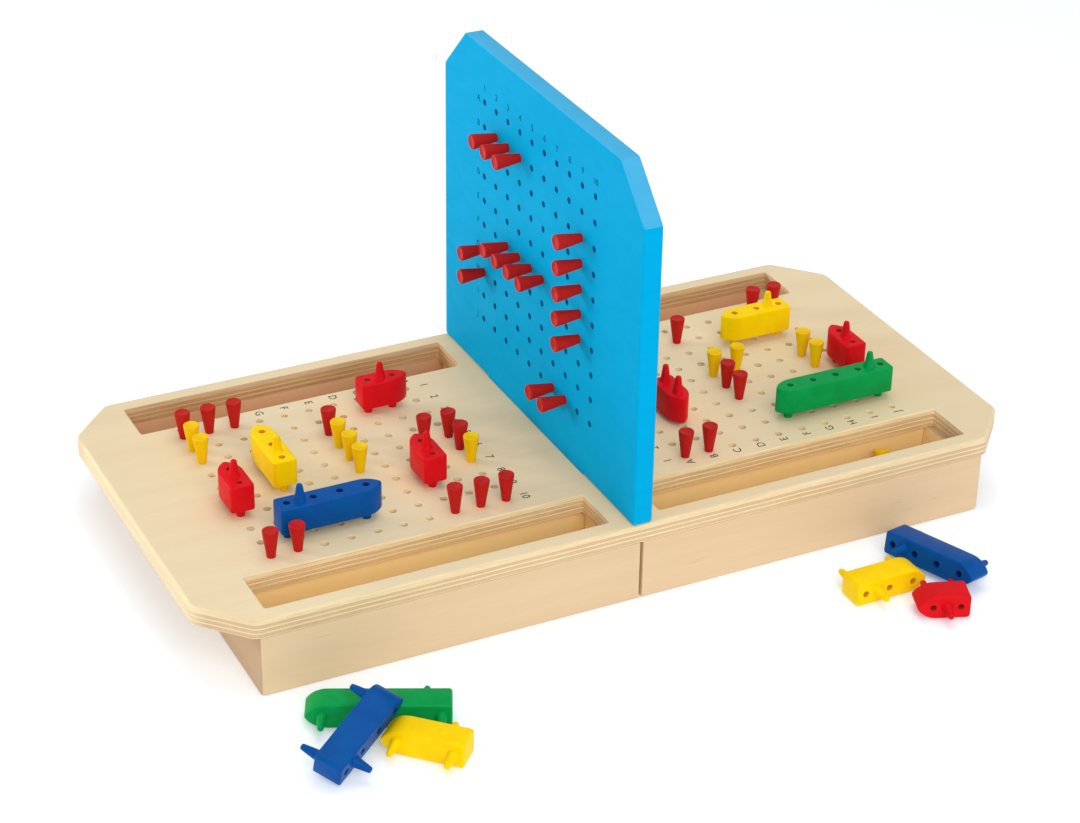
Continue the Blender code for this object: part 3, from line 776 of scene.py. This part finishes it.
def make_divider():
    """The upright board, drawn in Y and Z, and the tongue below it."""
    low_z = BOARD_TOP + GAP
    y_out = DIVIDER_HIGH.y
    y_in = y_out - DIVIDER_CHAMFER
    z_out = DIVIDER_HIGH.z
    z_in = z_out - DIVIDER_CHAMFER
    corners = [(-y_out, low_z), (y_out, low_z), (y_out, z_in)]
    corners += [(y_in, z_out), (-y_in, z_out), (-y_out, z_in)]
    radii = [DIVIDER_FOOT_RADIUS] * 2 + [DIVIDER_CORNER_RADIUS] * 4
    outline = rounded_outline(corners, radii)
    holes = []
    for column in range(GRID_COUNT):
        for row in range(GRID_COUNT):
            centre = (column * PITCH - GRID_HALF, DIVIDER_LOWEST_HOLE_Z + row * PITCH)
            holes.append((circle(centre, DIVIDER_HOLE_RADIUS, HOLE_SIDES), HOLE_EDGE))
    mesh = plate_mesh("divider_panel", DIVIDER_LOW.x, DIVIDER_HIGH.x, outline, DIVIDER_EDGE, holes)
    mesh.transform(Matrix(((0, 0, 1, 0), (1, 0, 0, 0), (0, 1, 0, 0), (0, 0, 0, 1))))
    # Painted light: upward-facing edges keep the lighter blue in slot 1.
    for face in mesh.polygons:
        in_columns = abs(face.center.y) < GRID_HALF + PITCH / 2
        in_rows = low_z + PITCH < face.center.z < z_in + PITCH / 4
        # Painted shade: the hole walls take the dark blue.
        if face.material_index and in_columns and in_rows:
            face.material_index = 2
        elif face.normal.z < 0.4:
            face.material_index = 0
    paints = [blue_paint, top_edge_paint_painted_light, hole_paint_painted_shade]
    add_piece("divider_panel", mesh, paints, "divider", "sky_blue_paint", "divider")

    outline = rounded_outline(rectangle(TONGUE_HALF_THICKNESS, TONGUE_HALF_WIDTH), WALL_EDGE, 2)
    mesh = plate_mesh("divider_tongue", DIVIDER_LOW.z, low_z + DIVIDER_EDGE * 2, outline, WALL_EDGE)
    add_piece("divider_tongue", mesh, [blue_paint, blue_paint], "divider", "sky_blue_paint", "divider")


# ---------------------------------------------------------------- ships and pegs

def hull_outline(cells):
    """A ship from above: a square stern with soft corners, and a bow of two arcs that meet in a point."""
    half = HULL_HALF_WIDTH
    stern = -STERN_OVERHANG
    bow_start = (cells - 1) * PITCH + BOW_OVERHANG - BOW_LENGTH
    bow_radius = (BOW_LENGTH ** 2 + half ** 2) / (2 * half)
    bow_turn = math.degrees(math.asin(BOW_LENGTH / bow_radius))
    tip_turn = bow_turn - math.degrees(BOW_TIP_RADIUS / bow_radius)
    points = arc((stern + STERN_RADIUS, STERN_RADIUS - half), STERN_RADIUS, 180, 270, 4)
    points += arc((bow_start, bow_radius - half), bow_radius, -90, tip_turn - 90, 8)
    tip = points[-1]
    nose = (bow_start + BOW_LENGTH) * BOW_NOSE_REACH + tip.x * (1 - BOW_NOSE_REACH)
    points.append(Vector((nose, tip.y * BOW_NOSE_WIDTH)))
    points.append(Vector((nose, -tip.y * BOW_NOSE_WIDTH)))
    points += arc((bow_start, half - bow_radius), bow_radius, 90 - tip_turn, 90, 8)
    points += arc((stern + STERN_RADIUS, half - STERN_RADIUS), STERN_RADIUS, 90, 180, 4)
    return points


def pin_profile(length, flare=1.0):
    """A tapered pin's outline, from its rounded tip down to where it is sunk in the hull."""
    cap = PIN_TIP_RADIUS * PIN_CAP_SHARE
    profile = [(0.0, length)]
    for step in range(1, CAP_STEPS + 1):
        angle = math.pi / 2 * step / CAP_STEPS
        radius = PIN_TIP_RADIUS - cap + cap * math.sin(angle)
        profile.append((radius, length - cap + cap * math.cos(angle)))
    profile += [(PIN_ROOT_RADIUS * flare + growth, z) for growth, z in PIN_FILLET]
    profile.append((PIN_ROOT_RADIUS, -PIN_SUNK))
    profile.append((0.0, -PIN_SUNK))
    return profile


def ship_mesh(cells, materials):
    """One ship: a hull with soft edges and blind deck holes, two pins below and a mast on the deck."""
    blind = []
    for cell in range(cells):
        hole = circle((cell * PITCH, 0.0), DECK_HOLE_RADIUS, HOLE_SIDES)
        blind.append((hole, DECK_HOLE_EDGE, DECK_HOLE_DEPTH))
    mesh = plate_mesh(f"ship_hull_{cells}", 0.0, HULL_HEIGHT, hull_outline(cells), HULL_EDGE, blind=blind)
    work = bmesh.new()
    work.from_mesh(mesh)
    # Painted shade: the deck holes take the darker plastic.
    for face in work.faces:
        face.material_index = 1 if face.material_index == 2 else 0
    turned(work, pin_profile(PIN_LENGTH), (0.0, 0.0, 0.0), PIN_SIDES, True)
    turned(work, pin_profile(PIN_LENGTH), ((cells - 1) * PITCH, 0.0, 0.0), PIN_SIDES, True)
    turned(work, pin_profile(MAST_LENGTH, MAST_FLARE), (MAST_X, 0.0, HULL_HEIGHT), PIN_SIDES)
    work.to_mesh(mesh)
    work.free()
    for material in materials:
        mesh.materials.append(material)
    return mesh


def ship_colour(node_name):
    """The colour word in a ship's or a peg's node name."""
    return next(word for word in SHIP_PLASTICS if f"_{word}_" in node_name)


def make_ships():
    """Every ship. Ships of one length share their mesh."""
    meshes = {}
    places = []
    for name, cells, side, column, row, heading in STANDING_SHIPS:
        place = Vector((*board_hole(side, column, row), BOARD_TOP + SHIP_CLEARANCE))
        places.append((name, cells, place, Euler((0.0, 0.0, math.radians(heading)))))
    name, cells, side, column, row, heading = CAPSIZED_SHIP
    turn = Euler((math.pi, 0.0, math.radians(heading)))
    mast = Vector((*board_hole(side, column, row), BOARD_TOP + CAPSIZED_CLEARANCE))
    places.append((name, cells, mast - turn.to_matrix() @ Vector((MAST_X, 0.0, HULL_HEIGHT)), turn))
    for name, cells, place, turns in SPARE_SHIPS:
        places.append((name, cells, Vector(place), Euler([math.radians(turn) for turn in turns])))
    for name, cells, place, turn in places:
        word = ship_colour(name)
        if cells not in meshes:
            meshes[cells] = ship_mesh(cells, (SHIP_PLASTICS[word], HOLE_PLASTICS_PAINTED_SHADE[word]))
        ship = bpy.data.objects.new(f"{name}_moulding", meshes[cells])
        bpy.context.scene.collection.objects.link(ship)
        ship.location = place
        ship.rotation_euler = turn
        settle(ship, name, f"{word}_ship_plastic", name)


def peg_mesh(name, material):
    """A tapered peg with a softened rim and a slightly dished head."""
    dish_z = PEG_HEAD_Z - PEG_DISH_DEPTH
    profile = [(0.0, dish_z), (PEG_HEAD_RADIUS * PEG_DISH_SHARES[0], dish_z)]
    profile.append((PEG_HEAD_RADIUS * PEG_DISH_SHARES[1], PEG_HEAD_Z - PEG_DISH_LIP))
    profile.append((PEG_HEAD_RADIUS - PEG_RIM, PEG_HEAD_Z))
    for step in range(1, CAP_STEPS + 1):
        angle = math.pi / 2 * step / CAP_STEPS
        radius = PEG_HEAD_RADIUS - PEG_RIM + PEG_RIM * math.sin(angle)
        profile.append((radius, PEG_HEAD_Z - PEG_RIM + PEG_RIM * math.cos(angle)))
    profile.append((PEG_HEAD_RADIUS * PEG_HEAD_TAPER, PEG_HEAD_Z - PEG_HEAD_HEIGHT))
    profile.append((PEG_NECK_RADIUS, 0.0003))
    profile.append((PEG_TIP_RADIUS + 0.0002, PEG_TIP_Z + PEG_TIP_CHAMFER))
    profile.append((PEG_TIP_RADIUS - 0.0005, PEG_TIP_Z))
    profile.append((0.0, PEG_TIP_Z))
    work = bmesh.new()
    turned(work, profile, (0.0, 0.0, 0.0), PEG_SIDES)
    mesh = bpy.data.meshes.new(name)
    work.to_mesh(mesh)
    work.free()
    mesh.materials.append(material)
    return mesh


def make_pegs():
    """The pegs in the boards, those in the divider's left face, and two loose ones in a tray."""
    meshes = {word: peg_mesh(f"peg_{word}", PEG_PLASTICS[word]) for word in ("red", "yellow")}
    for node_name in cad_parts:
        if "_peg_" not in node_name:
            continue
        low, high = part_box(node_name)
        word = ship_colour(node_name)
        peg = bpy.data.objects.new(f"{node_name}_turned", meshes[word])
        bpy.context.scene.collection.objects.link(peg)
        peg.location = ((low.x + high.x) / 2, (low.y + high.y) / 2, BOARD_TOP)
        peg.rotation_euler = (random.uniform(-PEG_LEAN, PEG_LEAN), random.uniform(-PEG_LEAN, PEG_LEAN), 0.0)
        settle(peg, node_name, f"{word}_peg_plastic", node_name)

    for number, (column, row) in enumerate(DIVIDER_PEGS, start=1):
        peg = bpy.data.objects.new(f"divider_peg_{number:02d}", meshes["red"])
        bpy.context.scene.collection.objects.link(peg)
        y = GRID_HALF - column * PITCH
        z = DIVIDER_LOWEST_HOLE_Z + (GRID_COUNT - 1 - row) * PITCH
        peg.location = (DIVIDER_LOW.x + DIVIDER_PEG_DEPTH, y, z)
        turns = (random.uniform(*DIVIDER_PEG_SPIN), random.uniform(*DIVIDER_PEG_DROOP), 0.0)
        tilt = Euler(turns).to_matrix()
        peg.rotation_euler = (tilt @ Euler((0.0, -math.pi / 2, 0.0)).to_matrix()).to_euler()
        settle(peg, "divider", "red_peg_plastic")

    for number, (tip, head) in enumerate(LOOSE_PEGS, start=1):
        peg = bpy.data.objects.new(f"loose_peg_{number:02d}", meshes["yellow"])
        bpy.context.scene.collection.objects.link(peg)
        along = (Vector(head) - Vector(tip)).normalized()
        peg.location = Vector(tip) - along * PEG_TIP_Z
        peg.rotation_euler = along.to_track_quat("Z", "Y").to_euler()
        settle(peg, "case", "yellow_peg_plastic")


# ---------------------------------------------------------------- printed labels

def label_mesh(text, size):
    """A printed character or number, centred, lying in the local XY plane."""
    curve = bpy.data.curves.new("label", "FONT")
    curve.body = text
    curve.size = size
    curve.align_x = "CENTER"
    curve.align_y = "CENTER"
    curve.extrude = INK_THICKNESS
    holder = bpy.data.objects.new("label", curve)
    bpy.context.scene.collection.objects.link(holder)
    bpy.context.view_layer.update()
    mesh = bpy.data.meshes.new_from_object(holder.evaluated_get(bpy.context.evaluated_depsgraph_get()))
    bpy.data.objects.remove(holder)
    bpy.data.curves.remove(curve)
    return mesh


def make_labels(name, body, entries, size):
    """One mesh of printed labels from (text, matrix) entries."""
    work = bmesh.new()
    for text, matrix in entries:
        mesh = label_mesh(text, size)
        mesh.transform(matrix)
        work.from_mesh(mesh)
        bpy.data.meshes.remove(mesh)
    bmesh.ops.remove_doubles(work, verts=work.verts, dist=MERGE_DISTANCE)
    mesh = bpy.data.meshes.new(name)
    work.to_mesh(mesh)
    work.free()
    if body == "case":
        add_piece(name, mesh, [board_ink], body, "birch_board")
    else:
        add_piece(name, mesh, [divider_ink], body, "sky_blue_paint")


LETTERS = "ABCDEFGHIJ"
BOARD_LABEL_SIZE = 0.0066
DIVIDER_LABEL_SIZE = 0.0052
LETTER_BEHIND_ROW = 0.0063
LETTER_SHIFT = {-1: (0.0025, 0.0018), 1: (0.0, 0.0)}
NUMBER_BEFORE_COLUMN = 0.0110
DIVIDER_NUMBER_ABOVE = 0.0083
DIVIDER_LETTER_BESIDE = 0.0078


def make_board_labels(side, name):
    """Letters along the row at the player's left and numbers beside the column next to the divider."""
    turn = Matrix.Rotation(math.radians(-90.0 if side < 0 else 90.0), 4, "Z")
    height = BOARD_TOP + INK_LIFT
    entries = []
    for index in range(GRID_COUNT):
        x, y = board_hole(side, index, 0)
        shift_x, shift_y = LETTER_SHIFT[side]
        place = Matrix.Translation((x + shift_x, y + shift_y - side * LETTER_BEHIND_ROW, height))
        entries.append((LETTERS[index], place @ turn))
        x, y = board_hole(side, 0, index)
        place = Matrix.Translation((x - side * NUMBER_BEFORE_COLUMN, y, height))
        entries.append((str(index + 1), place @ turn))
    make_labels(name, "case", entries, BOARD_LABEL_SIZE)


def make_divider_labels(side, name):
    """Numbers above the top row and letters beside the first column of one face of the divider."""
    face_x = (DIVIDER_LOW.x if side < 0 else DIVIDER_HIGH.x) + side * INK_LIFT
    turn = Euler((math.pi / 2, 0.0, side * math.pi / 2)).to_matrix().to_4x4()
    top_z = DIVIDER_LOWEST_HOLE_Z + (GRID_COUNT - 1) * PITCH
    entries = []
    for index in range(GRID_COUNT):
        y = -side * (GRID_HALF - index * PITCH)
        place = Matrix.Translation((face_x, y, top_z + DIVIDER_NUMBER_ABOVE))
        entries.append((str(index + 1), place @ turn))
        y = -side * (GRID_HALF + DIVIDER_LETTER_BESIDE)
        place = Matrix.Translation((face_x, y, top_z - index * PITCH))
        entries.append((LETTERS[index], place @ turn))
    make_labels(name, "divider", entries, DIVIDER_LABEL_SIZE)


# ---------------------------------------------------------------- the studio

FLOOR_HALF_SIZE = 6.0
FLOOR_DROP = 0.0003


def make_floor():
    """A plain pale table top under everything."""
    work = bmesh.new()
    bmesh.ops.create_grid(work, x_segments=2, y_segments=2, size=FLOOR_HALF_SIZE)
    mesh = bpy.data.meshes.new("studio_floor")
    work.to_mesh(mesh)
    work.free()
    floor = bpy.data.objects.new("studio_floor", mesh)
    bpy.context.scene.collection.objects.link(floor)
    floor.location.z = -FLOOR_DROP
    material, _, shader = new_material("studio_floor_white", 0.9)
    shader.inputs["Base Color"].default_value = colour(0.92, 0.945, 0.975)
    shader.inputs["Emission Color"].default_value = colour(0.80, 0.90, 1.0)
    shader.inputs["Emission Strength"].default_value = 0.19
    shader.inputs["Specular IOR Level"].default_value = 0.1
    mesh.materials.append(material)


def add_softbox(name, place, target, size, power):
    """A square area light that faces a target."""
    light = bpy.data.lights.new(name, "AREA")
    light.shape = "SQUARE"
    light.size = size
    light.energy = power
    lamp = bpy.data.objects.new(name, light)
    bpy.context.scene.collection.objects.link(lamp)
    lamp.location = place
    lamp.rotation_euler = (Vector(target) - Vector(place)).to_track_quat("-Z", "Y").to_euler()


def make_studio():
    """White surroundings, a large overhead softbox, a frontal fill, and a key from behind on the left."""
    world = bpy.data.worlds.new("studio_world")
    world.use_nodes = True
    background = world.node_tree.nodes["Background"]
    background.inputs["Color"].default_value = colour(1.0, 1.0, 1.0)
    background.inputs["Strength"].default_value = 0.59
    bpy.context.scene.world = world
    add_softbox("overhead_softbox", (0.2, 0.1, 1.9), (0.0, 0.0, 0.0), 1.2, 8.0)
    add_softbox("front_softbox", (-0.35, -2.0, 1.5), (0.0, 0.0, 0.05), 1.6, 25.0)
    add_softbox("key_softbox", (-1.35, 1.05, 0.45), (0.0, 0.0, 0.13), 0.4, 9.5)
    bpy.context.scene.view_settings.view_transform = "Standard"


def make_camera():
    """The camera at the viewing angle of the picture, without shift or depth of field."""
    camera = bpy.data.cameras.new("camera")
    camera.lens = CAMERA_LENS
    camera.sensor_width = CAMERA_SENSOR
    camera.clip_start = 0.05
    camera.clip_end = 30.0
    holder = bpy.data.objects.new("camera", camera)
    bpy.context.scene.collection.objects.link(holder)
    forward = Vector(CAMERA_FORWARD).normalized()
    right = forward.cross(Vector(CAMERA_UP)).normalized()
    up = right.cross(forward)
    turn = Matrix((right, up, -forward)).transposed()
    holder.matrix_world = Matrix.Translation(CAMERA_PLACE) @ turn.to_4x4()
    bpy.context.scene.camera = holder


make_top_board()
make_case()
make_divider()
make_ships()
make_pegs()
make_board_labels(-1, "board_print_left")
make_board_labels(1, "board_print_right")
make_divider_labels(-1, "divider_print_left")
make_divider_labels(1, "divider_print_right")
make_floor()
make_studio()
make_camera()
